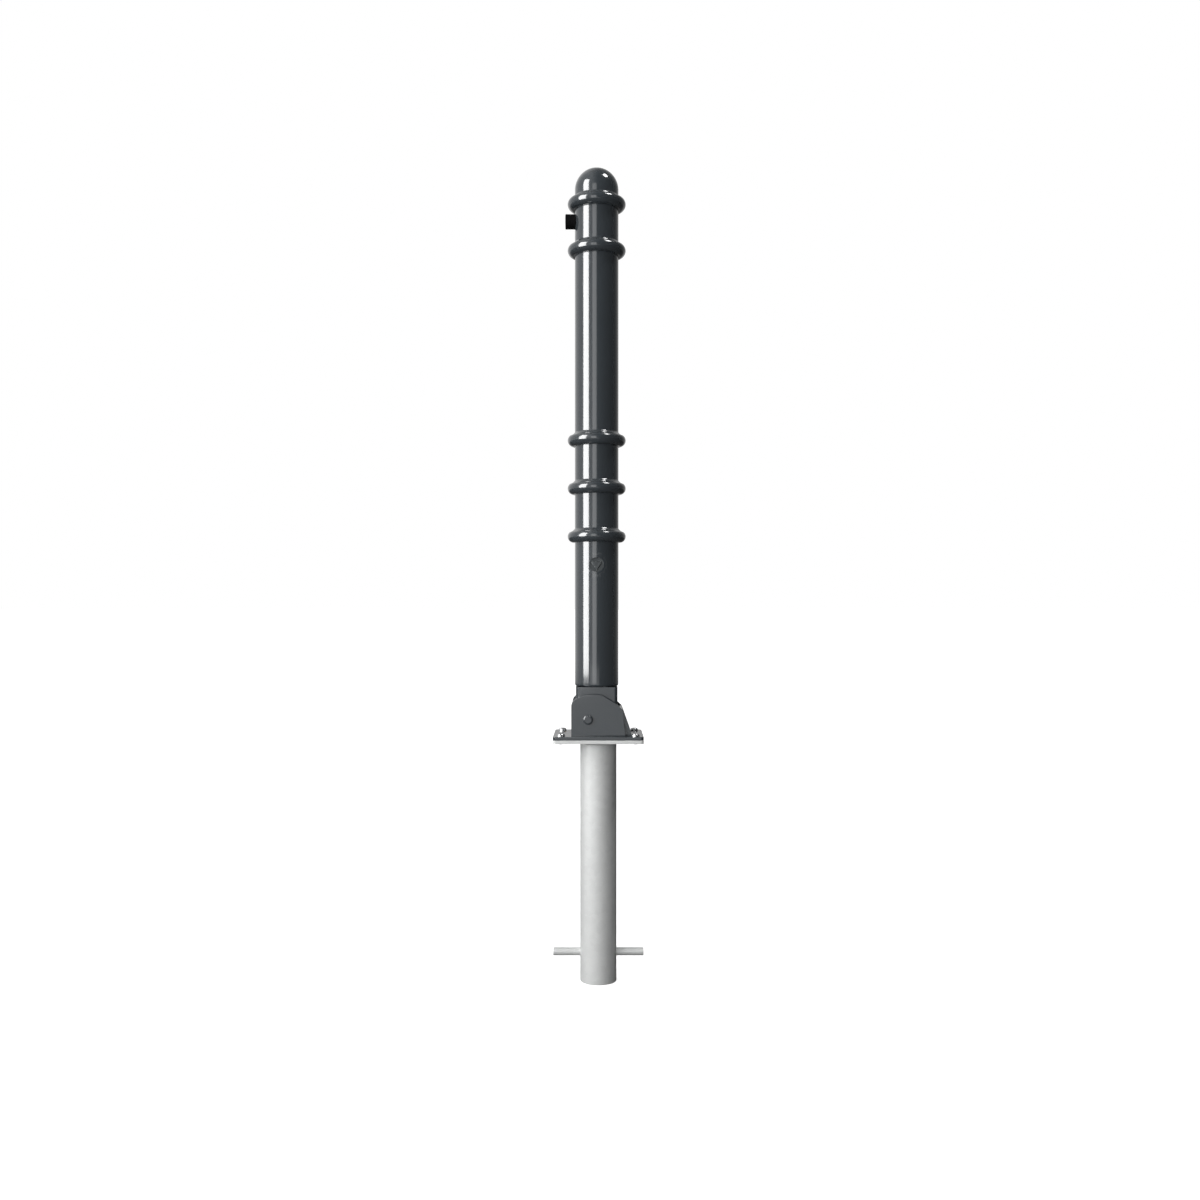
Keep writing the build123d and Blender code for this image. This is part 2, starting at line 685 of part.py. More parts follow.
yoke_back = rod_radius - yoke_thickness
with BuildPart() as crank_stud:
    with BuildSketch(lock_plane.offset(crank_front)):
        with Locations((crank_reach, crank_rise)):
            Circle(stud_radius)
    extrude(amount=yoke_back - crank_front)
crank_stud.part.label = "crank_stud"
export_step(crank_stud.part, "parts/crank_stud.step")

screw_face = barrel_tail - tail_length - run_gap
with BuildPart() as crank_screw:
    with BuildSketch(lock_plane.offset(screw_face)):
        Circle(crank_screw_head_radius)
    extrude(amount=-crank_screw_head_height)
    with BuildSketch(lock_plane.offset(screw_face)):
        Circle(crank_screw_radius)
    extrude(amount=2 * tail_length - 1)
crank_screw.part.label = "crank_screw"
export_step(crank_screw.part, "parts/crank_screw.step")

# ---------------------------------------------------------------- latch
yoke_plane = Plane(origin=(rod_x, 0, slot_z), x_dir=(1, 0, 0), z_dir=(0, -1, 0))
slot_half_height = stud_radius + free_gap
slot_length = 2 * (slot_half_travel + slot_half_height)
yoke_top = slot_half_height + yoke_over_slot
rod_top = slot_z - slot_half_height - stud_radius
flat_bottom = rod_top - yoke_overlap
yoke_bottom = flat_bottom + seat_gap - slot_z
rivet_levels = [rod_top - yoke_overlap * share - slot_z for share in (0.25, 0.7)]
with BuildPart() as latch_rod:
    with BuildSketch(Plane.XY.offset(rod_end)):
        with Locations((rod_x, 0)):
            Circle(rod_radius)
    extrude(amount=rod_top - rod_end)
    chamfer(latch_rod.edges().group_by(Axis.Z)[0], length=1.2)
    with BuildSketch(Plane.XY.offset(flat_bottom)):
        with Locations((rod_x, -rod_radius)):
            Rectangle(3 * rod_radius, 2 * (yoke_thickness + run_gap))
    extrude(amount=yoke_overlap, mode=Mode.SUBTRACT)
    with BuildSketch(yoke_plane.offset(-rod_radius)):
        with Locations(*[(0, level) for level in rivet_levels]):
            Circle(rivet_radius + run_gap)
    extrude(amount=2 * rod_radius, mode=Mode.SUBTRACT)
latch_rod.part.label = "latch_rod"
export_step(latch_rod.part, "parts/latch_rod.step")

with BuildPart() as latch_yoke:
    with BuildSketch(yoke_plane.offset(yoke_back)) as yoke_face:
        with Locations((0, (yoke_top + yoke_bottom) / 2)):
            RectangleRounded(yoke_width, yoke_top - yoke_bottom, 4)
        SlotOverall(slot_length, 2 * slot_half_height, mode=Mode.SUBTRACT)
        with Locations(*[(0, level) for level in rivet_levels]):
            Circle(rivet_radius + run_gap, mode=Mode.SUBTRACT)
    extrude(amount=yoke_thickness)
latch_yoke.part.label = "latch_yoke"
export_step(latch_yoke.part, "parts/latch_yoke.step")

with BuildPart() as yoke_rivets:
    with BuildSketch(yoke_plane.offset(-rod_radius)):
        with Locations(*[(0, level) for level in rivet_levels]):
            Circle(rivet_radius)
    extrude(amount=2 * rod_radius + run_gap)
    with BuildSketch(yoke_plane.offset(rod_radius + run_gap)):
        with Locations(*[(0, level) for level in rivet_levels]):
            Circle(2 * rivet_radius)
    extrude(amount=rivet_head)
yoke_rivets.part.label = "yoke_rivets"
export_step(yoke_rivets.part, "parts/yoke_rivets.step")
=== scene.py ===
"""Looks of the fold-down bollard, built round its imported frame. All lengths are in metres."""

import json
import math

import bmesh
import bpy
from mathutils import Matrix, Vector, noise


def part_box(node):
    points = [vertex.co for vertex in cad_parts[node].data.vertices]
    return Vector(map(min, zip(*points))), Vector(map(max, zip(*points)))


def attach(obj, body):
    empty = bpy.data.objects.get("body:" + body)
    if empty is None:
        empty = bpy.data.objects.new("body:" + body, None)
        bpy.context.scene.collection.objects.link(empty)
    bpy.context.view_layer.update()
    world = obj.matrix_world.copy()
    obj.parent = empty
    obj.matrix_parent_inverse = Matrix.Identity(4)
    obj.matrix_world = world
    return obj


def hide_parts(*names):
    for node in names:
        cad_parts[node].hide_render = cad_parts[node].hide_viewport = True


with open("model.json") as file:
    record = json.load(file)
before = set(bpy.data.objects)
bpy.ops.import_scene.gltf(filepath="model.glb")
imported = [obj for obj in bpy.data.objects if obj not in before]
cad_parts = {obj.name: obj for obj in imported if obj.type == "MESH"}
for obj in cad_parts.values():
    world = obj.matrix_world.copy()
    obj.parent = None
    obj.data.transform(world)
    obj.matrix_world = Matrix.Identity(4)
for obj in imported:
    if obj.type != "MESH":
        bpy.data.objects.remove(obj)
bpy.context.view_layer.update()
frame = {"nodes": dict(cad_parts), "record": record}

MM = 0.001
TURN = 2 * math.pi
QUARTER = math.pi / 2

# Places and sizes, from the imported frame
TUBE_LOW, TUBE_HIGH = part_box("post_tube")
POST_X = (TUBE_LOW.x + TUBE_HIGH.x) / 2
POST_RADIUS = (TUBE_HIGH.x - TUBE_LOW.x) / 2
POST_CENTRE = Vector((POST_X, 0, 0))
MIDDLE = Vector((0, 0, 0))
ANCHOR_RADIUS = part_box("anchor_tube")[1].x
ANCHOR_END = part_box("anchor_tube")[0].z
TUBE_WALL = 3.2 * MM
FINE_GAP = 0.05 * MM

# Stands a flat outline up: its second measure becomes height, and its levels run forward, along -y
UPRIGHT = Matrix.Rotation(QUARTER, 4, "X")

# Mesh fineness and tolerances
ROUND_STEPS = 160
CORNER_STEPS = 5
SMOOTH_ANGLE = math.radians(32)
TINY = 0.001 * MM


# ------------------------------------------------------------------ mesh tools
def rounded(corners, steps=CORNER_STEPS):
    """A closed outline from (x, y, radius) corners, each rounded by an arc of that radius."""
    outline = []
    for index, (x, y, radius) in enumerate(corners):
        here = Vector((x, y))
        before = Vector(corners[index - 1][:2])
        after = Vector(corners[(index + 1) % len(corners)][:2])
        if radius <= 0:
            outline.append((x, y))
            continue
        to_before = (before - here).normalized()
        to_after = (after - here).normalized()
        half = to_before.angle(to_after) / 2
        reach = radius / math.tan(half)
        centre = here + (to_before + to_after).normalized() * (radius / math.sin(half))
        start = here + to_before * reach - centre
        end = here + to_after * reach - centre
        sweep = start.angle_signed(end)
        for step in range(steps + 1):
            turn = -sweep * step / steps
            cos_turn = math.cos(turn)
            sin_turn = math.sin(turn)
            swung_x = start.x * cos_turn - start.y * sin_turn
            swung_y = start.x * sin_turn + start.y * cos_turn
            outline.append(tuple(centre + Vector((swung_x, swung_y))))
    return outline


def piece(name, mesh, body, slot, material, *nodes):
    """A finished object that rides on a body and stands for the CAD nodes named last."""
    obj = loose_object(name, mesh)
    mesh.materials.append(material)
    mesh.shade_smooth()
    mesh.set_sharp_from_angle(angle=SMOOTH_ANGLE)
    mark_edges(mesh)
    keep_flats_flat = obj.modifiers.new("flats", "WEIGHTED_NORMAL")
    keep_flats_flat.keep_sharp = True
    keep_flats_flat.weight = 100
    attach(obj, body)
    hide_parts(*nodes)


def mark_edges(mesh, blunt=3.0 * MM, sharp=1.2 * MM):
    """Stores how exposed each face is: 1 on a strip round an outer edge of the radius sharp or less.

    A strip bends at two of its edges, so the second largest bend counts, and thin flat faces stay at 0.
    """
    bm = bmesh.new()
    bm.from_mesh(mesh)
    bm.normal_update()
    layer = bm.faces.layers.float.new("exposed")
    for face in bm.faces:
        width = face.calc_area() / max(edge.calc_length() for edge in face.edges)
        bend = sorted(edge.calc_face_angle_signed(0.0) for edge in face.edges)[-2]
        curve = max(bend, 0.0) / max(width, TINY)
        face[layer] = min(1.0, max(0.0, (curve - 1 / blunt) / (1 / sharp - 1 / blunt)))
    bm.to_mesh(mesh)
    bm.free()


def turned(outline, centre, shape=None, steps=ROUND_STEPS):
    """A closed (radius, height) outline turned round the vertical line through centre.

    shape(angle, radius, height) gives what is added to a point's radius.
    """
    bm = bmesh.new()
    columns = []
    for step in range(steps):
        angle = TURN * step / steps
        column = []
        for radius, height in outline:
            grown = radius + (shape(angle, radius, height) if shape else 0.0)
            spot = (centre.x + grown * math.sin(angle), centre.y - grown * math.cos(angle), height)
            column.append(bm.verts.new(spot))
        columns.append(column)
    for step, column in enumerate(columns):
        following = columns[(step + 1) % steps]
        for index in range(len(outline)):
            after = (index + 1) % len(outline)
            bm.faces.new((column[index], column[after], following[after], following[index]))
    bmesh.ops.remove_doubles(bm, verts=bm.verts, dist=TINY / 10)
    bmesh.ops.recalc_face_normals(bm, faces=bm.faces)
    mesh = bpy.data.meshes.new("turned")
    bm.to_mesh(mesh)
    bm.free()
    return mesh


def cut_plate(outlines, low, high, edge, place):
    """A flat plate from an outline and its holes, with its edges rounded, between two levels."""
    curve = bpy.data.curves.new("plate", "CURVE")
    curve.dimensions = "2D"
    curve.fill_mode = "BOTH"
    curve.extrude = (high - low) / 2 - edge
    curve.bevel_depth = edge
    curve.bevel_resolution = 3
    curve.offset = -edge
    for outline in outlines:
        spline = curve.splines.new("POLY")
        spline.points.add(len(outline) - 1)
        for point, (x, y) in zip(spline.points, outline):
            point.co = (x, y, 0, 1)
        spline.use_cyclic_u = True
    holder = loose_object("plate", curve)
    bpy.context.view_layer.update()
    mesh = bpy.data.meshes.new_from_object(holder.evaluated_get(bpy.context.evaluated_depsgraph_get()))
    bpy.data.objects.remove(holder)
    mesh.transform(place @ Matrix.Translation((0, 0, (low + high) / 2)))
    bm = bmesh.new()
    bm.from_mesh(mesh)
    bmesh.ops.remove_doubles(bm, verts=bm.verts, dist=TINY)
    bmesh.ops.recalc_face_normals(bm, faces=bm.faces)
    bm.to_mesh(mesh)
    bm.free()
    return mesh


def bored(mesh, centre, radius, depth, axis, segments=96):
    """The mesh with a round hole through it, of a depth along the axis X, Y or Z."""
    bm = bmesh.new()
    bmesh.ops.create_cone(bm, cap_ends=True, segments=segments, radius1=radius, radius2=radius, depth=depth)
    turn_axis, turn = {"X": ("Y", QUARTER), "Y": ("X", QUARTER), "Z": ("Z", 0.0)}[axis]
    bmesh.ops.rotate(bm, verts=bm.verts, matrix=Matrix.Rotation(turn, 3, turn_axis))
    bmesh.ops.translate(bm, verts=bm.verts, vec=centre)
    drill_mesh = bpy.data.meshes.new("drill")
    bm.to_mesh(drill_mesh)
    bm.free()
    drill = loose_object("drill", drill_mesh)
    blank = loose_object("blank", mesh)
    cut = blank.modifiers.new("hole", "BOOLEAN")
    cut.object = drill
    bpy.context.view_layer.update()
    holed = bpy.data.meshes.new_from_object(blank.evaluated_get(bpy.context.evaluated_depsgraph_get()))
    bpy.data.objects.remove(blank)
    bpy.data.objects.remove(drill)
    return holed


def loose_object(name, data):
    """A new object in the scene that rides on nothing yet."""
    obj = bpy.data.objects.new(name, data)
    bpy.context.collection.objects.link(obj)
    return obj


def ring_of(centre_x, centre_y, radius, steps=48):
    """A round hole's points, clockwise."""
    angles = [-TURN * step / steps for step in range(steps)]
    return [(centre_x + radius * math.cos(a), centre_y + radius * math.sin(a)) for a in angles]


# ------------------------------------------------------------------ node tools
def start_group(name, inputs, outputs):
    """An empty shader node group with float inputs (name, default) and named outputs."""
    tree = bpy.data.node_groups.new(name, "ShaderNodeTree")
    for label, default in inputs:
        socket = tree.interface.new_socket(label, in_out="INPUT", socket_type="NodeSocketFloat")
        socket.default_value = default
    for label, kind in outputs:
        tree.interface.new_socket(label, in_out="OUTPUT", socket_type=kind)
    return tree, tree.nodes.new("NodeGroupInput").outputs, tree.nodes.new("NodeGroupOutput").inputs


def maths(tree, operation, first, second):
    """One operation on two values, each a socket or a number."""
    node = tree.nodes.new("ShaderNodeMath")
    node.operation = operation
    for socket, value in zip(node.inputs, (first, second)):
        if isinstance(value, bpy.types.NodeSocket):
            tree.links.new(value, socket)
        else:
            socket.default_value = value
    return node.outputs[0]


def multiply(tree, first, second):
    return maths(tree, "MULTIPLY", first, second)


def ramp(tree, source, low, high, low_out=0.0, high_out=1.0):
    """Maps source from the range low to high onto low_out to high_out, held at its ends."""
    node = tree.nodes.new("ShaderNodeMapRange")
    tree.links.new(source, node.inputs["Value"])
    for label, value in (("From Min", low), ("From Max", high), ("To Min", low_out), ("To Max", high_out)):
        node.inputs[label].default_value = value
    return node.outputs["Result"]


def object_point(tree):
    return tree.nodes.new("ShaderNodeTexCoord").outputs["Object"]


def noise_at(tree, point, scale, detail=2.0, roughness=0.5):
    """Smooth noise at a scale in cells a metre."""
    node = tree.nodes.new("ShaderNodeTexNoise")
    tree.links.new(point, node.inputs["Vector"])
    for label, value in (("Scale", scale), ("Detail", detail), ("Roughness", roughness)):
        if isinstance(value, bpy.types.NodeSocket):
            tree.links.new(value, node.inputs[label])
        else:
            node.inputs[label].default_value = value
    return node.outputs["Fac"]


def mix_colours(tree, share, first, second):
    """The first colour, with a share of the second mixed in."""
    node = tree.nodes.new("ShaderNodeMix")
    node.data_type = "RGBA"
    for label, value in (("Factor", share), ("A", first), ("B", second)):
        socket = next(s for s in node.inputs if s.name == label and s.enabled)
        if isinstance(value, bpy.types.NodeSocket):
            tree.links.new(value, socket)
        else:
            socket.default_value = value
    return next(s for s in node.outputs if s.enabled)


# ------------------------------------------------------------------ shared effects
def build_orange_peel():
    """The fine rolling skin of powder coat: a height that feeds each coat's bump."""
    tree, given, out = start_group("orange_peel", [("Cells", 420.0), ("Long Wave", 0.35)],
                                   [("Height", "NodeSocketFloat")])
    point = object_point(tree)
    fine = noise_at(tree, point, given["Cells"], 1.0)
    long_wave = noise_at(tree, point, multiply(tree, given["Cells"], 0.12), 0.0)
    tree.links.new(maths(tree, "ADD", fine, multiply(tree, long_wave, given["Long Wave"])), out["Height"])
    return tree


def build_worn_edge():
    """A broken mask along exposed edges, from the meshes' exposed attribute."""
    tree, given, out = start_group("worn_edge", [("Amount", 0.5), ("Cells", 900.0)],
                                   [("Mask", "NodeSocketFloat")])
    exposed = tree.nodes.new("ShaderNodeAttribute")
    exposed.attribute_name = "exposed"
    broken = noise_at(tree, object_point(tree), given["Cells"], 3.0)
    mask = multiply(tree, exposed.outputs["Fac"], ramp(tree, broken, 0.42, 0.62))
    tree.links.new(multiply(tree, mask, given["Amount"]), out["Mask"])
    return tree


def build_settled_dust():
    """Dust that lies on faces that look up, in soft patches."""
    tree, given, out = start_group("settled_dust", [("Amount", 0.3), ("Cells", 60.0)],
                                   [("Mask", "NodeSocketFloat")])
    coordinates = tree.nodes.new("ShaderNodeTexCoord")
    split = tree.nodes.new("ShaderNodeSeparateXYZ")
    tree.links.new(coordinates.outputs["Normal"], split.inputs[0])
    upward = ramp(tree, split.outputs["Z"], 0.35, 0.95)
    blotches = noise_at(tree, coordinates.outputs["Object"], given["Cells"], 5.0, 0.65)
    patches = ramp(tree, blotches, 0.35, 0.7)
    tree.links.new(multiply(tree, multiply(tree, upward, patches), given["Amount"]), out["Mask"])
    return tree


def build_brush_marks():
    """Fine marks, drawn out along the axes whose factor is small, as a height."""
    inputs = [("Across", 2600.0), ("Along X", 1.0), ("Along Y", 1.0), ("Along Z", 0.04)]
    tree, given, out = start_group("brush_marks", inputs, [("Height", "NodeSocketFloat")])
    stretch = tree.nodes.new("ShaderNodeCombineXYZ")
    for axis, label in zip("XYZ", ("Along X", "Along Y", "Along Z")):
        tree.links.new(given[label], stretch.inputs[axis])
    scaled = tree.nodes.new("ShaderNodeVectorMath")
    scaled.operation = "MULTIPLY"
    tree.links.new(object_point(tree), scaled.inputs[0])
    tree.links.new(stretch.outputs[0], scaled.inputs[1])
    tree.links.new(noise_at(tree, scaled.outputs[0], given["Across"], 2.0), out["Height"])
    return tree


def build_zinc_bloom():
    """Hot-dip zinc: crystal patches, fine grey mottling and broad clouds, as tone and height."""
    tree, given, out = start_group("zinc_bloom", [("Crystals", 110.0), ("Mottle", 420.0)],
                                   [("Tone", "NodeSocketFloat"), ("Height", "NodeSocketFloat")])
    warp_cells, warp_reach = 160.0, 8 * MM
    cloud_cells = 22.0
    crystal_share, mottle_share, cloud_share = 0.3, 0.45, 0.35
    cloud_height = 2.0
    point = object_point(tree)
    warp = tree.nodes.new("ShaderNodeTexNoise")
    warp.inputs["Scale"].default_value = warp_cells
    tree.links.new(point, warp.inputs["Vector"])
    bent = tree.nodes.new("ShaderNodeVectorMath")
    bent.operation = "MULTIPLY_ADD"
    tree.links.new(warp.outputs["Color"], bent.inputs[0])
    bent.inputs[1].default_value = (warp_reach, warp_reach, warp_reach)
    tree.links.new(point, bent.inputs[2])
    crystals = tree.nodes.new("ShaderNodeTexVoronoi")
    tree.links.new(bent.outputs[0], crystals.inputs["Vector"])
    tree.links.new(given["Crystals"], crystals.inputs["Scale"])
    shade = tree.nodes.new("ShaderNodeSeparateColor")
    tree.links.new(crystals.outputs["Color"], shade.inputs[0])
    mottle = noise_at(tree, point, given["Mottle"], 4.0, 0.7)
    clouds = noise_at(tree, point, cloud_cells, 3.0, 0.6)
    tone = maths(tree, "ADD", multiply(tree, shade.outputs[0], crystal_share),
                 multiply(tree, mottle, mottle_share))
    tree.links.new(maths(tree, "ADD", tone, multiply(tree, clouds, cloud_share)), out["Tone"])
    tree.links.new(maths(tree, "ADD", mottle, multiply(tree, clouds, cloud_height)), out["Height"])
    return tree


ORANGE_PEEL = build_orange_peel()
WORN_EDGE = build_worn_edge()
SETTLED_DUST = build_settled_dust()
BRUSH_MARKS = build_brush_marks()
ZINC_BLOOM = build_zinc_bloom()


# ------------------------------------------------------------------ materials
# Colours are linear
COAT_DEEP = (0.037, 0.044, 0.050, 1)
COAT_PALE = (0.044, 0.052, 0.059, 1)
COAT_FLECK = (0.09, 0.097, 0.10, 1)
COAT_RUBBED = (0.16, 0.17, 0.175, 1)
COAT_DUST = (0.32, 0.31, 0.29, 1)
ZINC_TINT = (0.63, 0.64, 0.635)
WELD_TINT = (0.50, 0.51, 0.50)
ZINC_RUBBED = (0.82, 0.83, 0.83, 1)
PLATED_TINT = (0.78, 0.79, 0.80)
STEEL_TINT = (0.48, 0.48, 0.49)
BRONZE_TINT = (0.60, 0.38, 0.17)
BLACKENED_TINT = (0.11, 0.12, 0.125)
METAL_RUBBED = (0.85, 0.85, 0.84, 1)
RUBBER_DEEP = (0.0025, 0.0025, 0.003, 1)
RUBBER_PALE = (0.005, 0.005, 0.0055, 1)
RUBBER_DUST = (0.05, 0.048, 0.046, 1)
FLOOR_NEAR_STEEL = (0.10, 0.10, 0.10, 1)
FLOOR_DEEP = (0.88, 0.88, 0.88, 1)
FLOOR_PALE = (0.92, 0.92, 0.92, 1)


def effect(tree, group, **values):
    """Places a shared effect in a material with this material's own values."""
    node = tree.nodes.new("ShaderNodeGroup")
    node.node_tree = group
    for key, value in values.items():
        node.inputs[key.replace("_", " ")].default_value = value
    return node.outputs


def new_material(name, **constants):
    """A material with a Principled shader and its plain numbers set on its own sockets."""
    material = bpy.data.materials.new(name)
    material.use_nodes = True
    shader = material.node_tree.nodes["Principled BSDF"]
    for key, value in constants.items():
        shader.inputs[key.replace("_", " ")].default_value = value
    return material, material.node_tree, shader.inputs


def bump(tree, shader, height, depth):
    """Feeds a height, in units of depth metres, to the shader's normal."""
    node = tree.nodes.new("ShaderNodeBump")
    node.inputs["Distance"].default_value = depth
    tree.links.new(height, node.inputs["Height"])
    tree.links.new(node.outputs[0], shader["Normal"])


def anthracite_coat():
    """Glossy anthracite powder coat on steel, a little cloudy, flecked, dusty and rubbed at its edges."""
    material, tree, shader = new_material("anthracite_coat", Coat_Weight=1.0, Coat_Roughness=0.05, IOR=1.5)
    cloud_cells, fleck_cells, peel_cells = 9.0, 1500.0, 380.0
    peel_depth = 0.02 * MM
    point = object_point(tree)
    cloud = noise_at(tree, point, cloud_cells, 3.0)
    fleck = noise_at(tree, point, fleck_cells, 1.0)
    base = mix_colours(tree, cloud, COAT_DEEP, COAT_PALE)
    base = mix_colours(tree, ramp(tree, fleck, 0.62, 0.8, 0.0, 0.25), base, COAT_FLECK)
    worn = effect(tree, WORN_EDGE, Amount=0.35)["Mask"]
    dust = effect(tree, SETTLED_DUST, Amount=0.10)["Mask"]
    base = mix_colours(tree, worn, base, COAT_RUBBED)
    base = mix_colours(tree, dust, base, COAT_DUST)
    tree.links.new(base, shader["Base Color"])
    rough = maths(tree, "ADD", ramp(tree, cloud, 0.3, 0.7, 0.12, 0.18), multiply(tree, dust, 1.2))
    tree.links.new(rough, shader["Roughness"])
    bump(tree, shader, effect(tree, ORANGE_PEEL, Cells=peel_cells)["Height"], peel_depth)
    return material


def galvanised(name, tint, depth):
    """Hot-dip galvanised steel, matt and faintly mottled."""
    material, tree, shader = new_material(name, Metallic=0.12, IOR=1.6)
    bloom = effect(tree, ZINC_BLOOM)
    light = tuple(channel * 1.04 for channel in tint) + (1,)
    dark = tuple(channel * 0.96 for channel in tint) + (1,)
    base = mix_colours(tree, ramp(tree, bloom["Tone"], 0.32, 0.78), dark, light)
    worn = effect(tree, WORN_EDGE, Amount=0.4)["Mask"]
    tree.links.new(mix_colours(tree, worn, base, ZINC_RUBBED), shader["Base Color"])
    tree.links.new(ramp(tree, bloom["Tone"], 0.3, 0.8, 0.60, 0.50), shader["Roughness"])
    bump(tree, shader, bloom["Height"], depth)
    return material


def plain_metal(name, tint, roughness, marks, rubbed=0.3):
    """Machined or plated metal with fine marks, faint stains and edges rubbed bright."""
    material, tree, shader = new_material(name, Metallic=1.0)
    stain_cells, wear_cells = 130.0, 300.0
    mark_depth = 0.01 * MM
    height = effect(tree, BRUSH_MARKS, **marks)["Height"]
    stain = noise_at(tree, object_point(tree), stain_cells, 4.0, 0.6)
    dull = tuple(channel * 0.72 for channel in tint) + (1,)
    base = mix_colours(tree, ramp(tree, stain, 0.35, 0.7), dull, tint + (1,))
    worn = effect(tree, WORN_EDGE, Amount=rubbed, Cells=wear_cells)["Mask"]
    tree.links.new(mix_colours(tree, worn, base, METAL_RUBBED), shader["Base Color"])
    tree.links.new(ramp(tree, height, 0.3, 0.7, roughness * 0.8, roughness * 1.25), shader["Roughness"])
    bump(tree, shader, height, mark_depth)
    return material


def black_rubber():
    """Moulded black rubber with a fine matt grain and a little chalky dust."""
    material, tree, shader = new_material("black_rubber", Specular_IOR_Level=0.05)
    grain_cells, dust_cells = 1900.0, 240.0
    grain_depth = 0.04 * MM
    grain = noise_at(tree, object_point(tree), grain_cells, 3.0, 0.6)
    dust = effect(tree, SETTLED_DUST, Amount=0.08, Cells=dust_cells)["Mask"]
    base = mix_colours(tree, ramp(tree, grain, 0.4, 0.7), RUBBER_DEEP, RUBBER_PALE)
    tree.links.new(mix_colours(tree, dust, base, RUBBER_DUST), shader["Base Color"])
    tree.links.new(ramp(tree, grain, 0.3, 0.7, 0.7, 0.9), shader["Roughness"])
    bump(tree, shader, grain, grain_depth)
    return material


COAT = anthracite_coat()
ZINC = galvanised("galvanised_zinc", ZINC_TINT, 0.04 * MM)
WELD_ZINC = galvanised("galvanised_weld", WELD_TINT, 0.10 * MM)
PLATED = plain_metal("zinc_plate", PLATED_TINT, 0.24, {"Across": 2200.0, "Along_Z": 1.0})
STEEL = plain_metal("bright_steel", STEEL_TINT, 0.32, {"Across": 1800.0})
BRONZE = plain_metal("sintered_bronze", BRONZE_TINT, 0.38, {"Across": 1500.0, "Along_Z": 1.0})
# The blackened barrel's edges are rubbed bright more strongly: edge wear, and partly a painted highlight
# that makes the drive's slanted sides show as pale strokes.
BLACKENED = plain_metal("blackened_steel", BLACKENED_TINT, 0.30, {"Across": 2400.0, "Along_Z": 1.0}, 0.6)
RUBBER = black_rubber()

FINISH_OF_SLOT = {
    "anthracite_coat": COAT,
    "galvanised_steel": ZINC,
    "weld_metal": WELD_ZINC,
    "zinc_plated_steel": PLATED,
    "bare_steel": STEEL,
    "bronze": BRONZE,
    "lock_metal": BLACKENED,
    "black_rubber": RUBBER,
}


def finish_cad_nodes():
    """Every CAD node takes the finish of its slot in the record."""
    for part in frame["record"]["subparts"]:
        cad = frame["nodes"][part["node"]]
        for place in cad.material_slots:
            place.material = FINISH_OF_SLOT[part["material_slot"]]


# ------------------------------------------------------------------ post
def build_post_tube():
    """The long tube, with the faint waves of drawn tube and a round hole for the lock."""
    rows, rows_per_inner_row = 120, 10
    wave_depth = 0.03 * MM
    waves_around, waves_a_metre = 1.5, 7
    lock_gap = 0.1 * MM
    low, high = TUBE_LOW.z, TUBE_HIGH.z
    heights = [low + (high - low) * row / rows for row in range(rows + 1)]
    outline = [(POST_RADIUS, height) for height in heights]
    outline += [(POST_RADIUS - TUBE_WALL, height) for height in reversed(heights[::rows_per_inner_row])]

    def drawn_waves(angle, radius, height):
        if radius < POST_RADIUS - TUBE_WALL / 2:
            return 0.0
        spot = (math.sin(angle) * waves_around, math.cos(angle) * waves_around, height * waves_a_metre)
        return wave_depth * noise.noise(Vector(spot))

    lock_low, lock_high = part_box("lock_housing")
    lock_centre = (lock_low + lock_high) / 2
    lock_centre.y = -POST_RADIUS
    hole_radius = (lock_high.x - lock_low.x) / 2 + lock_gap
    mesh = bored(turned(outline, POST_CENTRE, drawn_waves), lock_centre, hole_radius, POST_RADIUS, "Y")
    piece("tube_skin", mesh, "post", "anthracite_coat", COAT, "post_tube")


def build_dome():
    """The domed cap: a half ball on a short skirt, with a hollow spigot that sits in the tube."""
    outer_steps, inner_steps = 40, 12
    spigot_gap, spigot_wall = 0.1 * MM, 3 * MM
    low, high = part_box("dome_cap")
    ball_centre = high.z - POST_RADIUS
    seam = TUBE_HIGH.z
    spigot = POST_RADIUS - TUBE_WALL - spigot_gap
    bore = spigot - spigot_wall
    outline = []
    for step in range(outer_steps + 1):
        lift = QUARTER * step / outer_steps
        outline.append((POST_RADIUS * math.sin(lift), ball_centre + POST_RADIUS * math.cos(lift)))
    outline += [(POST_RADIUS, seam), (spigot, seam), (spigot, low.z), (bore, low.z)]
    for step in range(inner_steps + 1):
        lift = QUARTER * (1 - step / inner_steps)
        outline.append((bore * math.sin(lift), ball_centre + bore * math.cos(lift)))
    piece("dome_skin", turned(outline, POST_CENTRE), "post", "anthracite_coat", COAT, "dome_cap")


